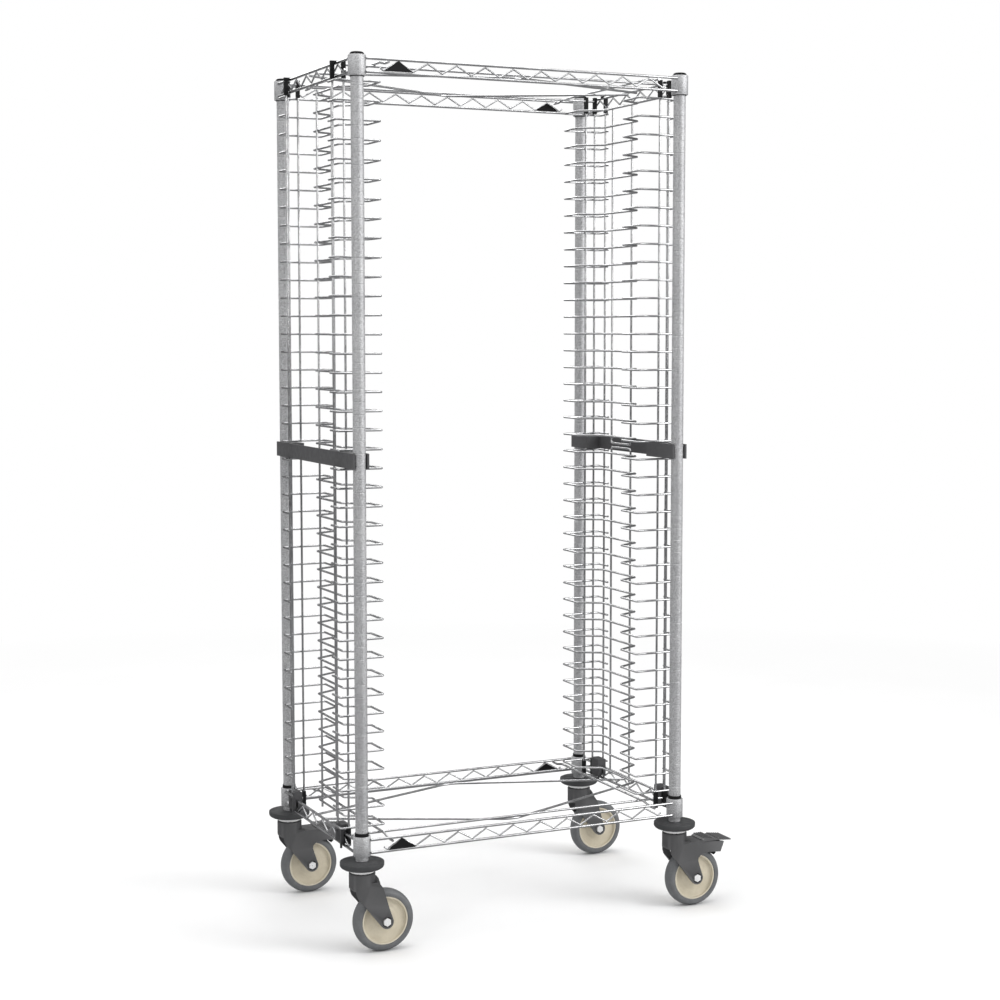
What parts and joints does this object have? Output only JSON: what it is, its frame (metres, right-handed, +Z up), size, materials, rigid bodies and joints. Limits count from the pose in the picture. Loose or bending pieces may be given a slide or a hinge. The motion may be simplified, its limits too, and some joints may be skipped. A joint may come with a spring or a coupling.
{
  "type": "sheet pan rack",
  "caption": "Tall open wire rack with facing columns of pan slides between grooved posts, on swivel casters with wheel brakes.",
  "frame": {"origin": "on the floor, midway between the four posts", "axes": "+X along the loading side to the right of someone facing the open front, +Y from the front to the rear, +Z up"},
  "size_m": [0.891, 0.5364, 1.7768],
  "materials": {
    "post_chrome": "satin plated, ring-grooved",
    "wire_chrome": "bright plated",
    "bright_steel": "zinc-plated",
    "black_plastic": "moulded",
    "dark_plastic": "moulded",
    "fork_plastic": "moulded, slightly glossy",
    "pedal_plastic": "moulded",
    "bumper_rubber": "soft grey",
    "tread_rubber": "smooth grey",
    "core_plastic": "cream moulded"
  },
  "bodies": {
    "rack": {"front_left_post": "post_chrome", "front_right_post": "post_chrome", "rear_left_post": "post_chrome", "rear_right_post": "post_chrome", "post_caps": "black_plastic", "caster_stems": "bright_steel", "doughnut_bumpers": "bumper_rubber", "swivel_races": "bright_steel", "race_balls": "bright_steel", "top_collars": "post_chrome", "top_split_sleeves": "black_plastic", "top_front_truss": "wire_chrome", "top_rear_truss": "wire_chrome", "top_left_truss": "wire_chrome", "top_right_truss": "wire_chrome", "top_inner_wires": "wire_chrome", "top_brace_wires": "wire_chrome", "top_badge_plates": "black_plastic", "bottom_collars": "post_chrome", "bottom_split_sleeves": "black_plastic", "bottom_front_truss": "wire_chrome", "bottom_rear_truss": "wire_chrome", "bottom_left_truss": "wire_chrome", "bottom_right_truss": "wire_chrome", "bottom_inner_wires": "wire_chrome", "bottom_brace_wires": "wire_chrome", "bottom_badge_plates": "black_plastic", "left_upper_slides": "wire_chrome", "left_lower_slides": "wire_chrome", "left_mid_strap": "dark_plastic", "right_upper_slides": "wire_chrome", "right_lower_slides": "wire_chrome", "right_mid_strap": "dark_plastic", "slide_u_rods": "wire_chrome", "hanging_clips": "black_plastic", "lower_clips": "black_plastic", "rail_clamps": "dark_plastic"},
    "front_left_swivel": {"front_left_fork": "fork_plastic", "front_left_axle_bolt": "bright_steel"},
    "front_left_wheel": {"front_left_tyre": "tread_rubber", "front_left_wheel_core": "core_plastic"},
    "front_right_swivel": {"front_right_fork": "fork_plastic", "front_right_axle_bolt": "bright_steel", "front_right_pedal_pin": "bright_steel"},
    "front_right_wheel": {"front_right_tyre": "tread_rubber", "front_right_wheel_core": "core_plastic"},
    "front_right_pedal": {"front_right_brake_pedal": "pedal_plastic"},
    "front_right_shoe": {"front_right_brake_shoe": "black_plastic"},
    "rear_left_swivel": {"rear_left_fork": "fork_plastic", "rear_left_axle_bolt": "bright_steel", "rear_left_pedal_pin": "bright_steel"},
    "rear_left_wheel": {"rear_left_tyre": "tread_rubber", "rear_left_wheel_core": "core_plastic"},
    "rear_left_pedal": {"rear_left_brake_pedal": "pedal_plastic"},
    "rear_left_shoe": {"rear_left_brake_shoe": "black_plastic"},
    "rear_right_swivel": {"rear_right_fork": "fork_plastic", "rear_right_axle_bolt": "bright_steel"},
    "rear_right_wheel": {"rear_right_tyre": "tread_rubber", "rear_right_wheel_core": "core_plastic"}
  },
  "joints": [
    {"name": "front_left_swivel_turn", "type": "hinge", "parent": "rack", "child": "front_left_swivel", "pos_m": [-0.3592, -0.2237, 0.165], "axis": [0, 0, 1], "continuous": true},
    {"name": "front_left_wheel_spin", "type": "hinge", "parent": "front_left_swivel", "child": "front_left_wheel", "pos_m": [-0.3154, -0.2237, 0.0635], "axis": [0, 1, 0], "continuous": true},
    {"name": "front_right_swivel_turn", "type": "hinge", "parent": "rack", "child": "front_right_swivel", "pos_m": [0.3592, -0.2237, 0.165], "axis": [0, 0, 1], "continuous": true},
    {"name": "front_right_wheel_spin", "type": "hinge", "parent": "front_right_swivel", "child": "front_right_wheel", "pos_m": [0.403, -0.2237, 0.0635], "axis": [0, 1, 0], "continuous": true},
    {"name": "front_right_pedal_tilt", "type": "hinge", "parent": "front_right_swivel", "child": "front_right_pedal", "pos_m": [0.4432, -0.2237, 0.134], "axis": [0, 1, 0], "range_deg": [0, 6]},
    {"name": "front_right_shoe_press", "type": "slide", "parent": "front_right_swivel", "child": "front_right_shoe", "axis": [-0.5948, 0, -0.8039], "range_m": [0, 0.0012]},
    {"name": "rear_left_swivel_turn", "type": "hinge", "parent": "rack", "child": "rear_left_swivel", "pos_m": [-0.3592, 0.2237, 0.165], "axis": [0, 0, 1], "continuous": true},
    {"name": "rear_left_wheel_spin", "type": "hinge", "parent": "rear_left_swivel", "child": "rear_left_wheel", "pos_m": [-0.3154, 0.2237, 0.0635], "axis": [0, 1, 0], "continuous": true},
    {"name": "rear_left_pedal_tilt", "type": "hinge", "parent": "rear_left_swivel", "child": "rear_left_pedal", "pos_m": [-0.2752, 0.2237, 0.134], "axis": [0, 1, 0], "range_deg": [0, 6]},
    {"name": "rear_left_shoe_press", "type": "slide", "parent": "rear_left_swivel", "child": "rear_left_shoe", "axis": [-0.5948, 0, -0.8039], "range_m": [0, 0.0012]},
    {"name": "rear_right_swivel_turn", "type": "hinge", "parent": "rack", "child": "rear_right_swivel", "pos_m": [0.3592, 0.2237, 0.165], "axis": [0, 0, 1], "continuous": true},
    {"name": "rear_right_wheel_spin", "type": "hinge", "parent": "rear_right_swivel", "child": "rear_right_wheel", "pos_m": [0.403, 0.2237, 0.0635], "axis": [0, 1, 0], "continuous": true}
  ],
  "couplings": [
    {"joint": "front_right_shoe_press", "follows": "front_right_pedal_tilt", "m_per_rad": 0.01145},
    {"joint": "rear_left_shoe_press", "follows": "rear_left_pedal_tilt", "m_per_rad": 0.01145}
  ]
}
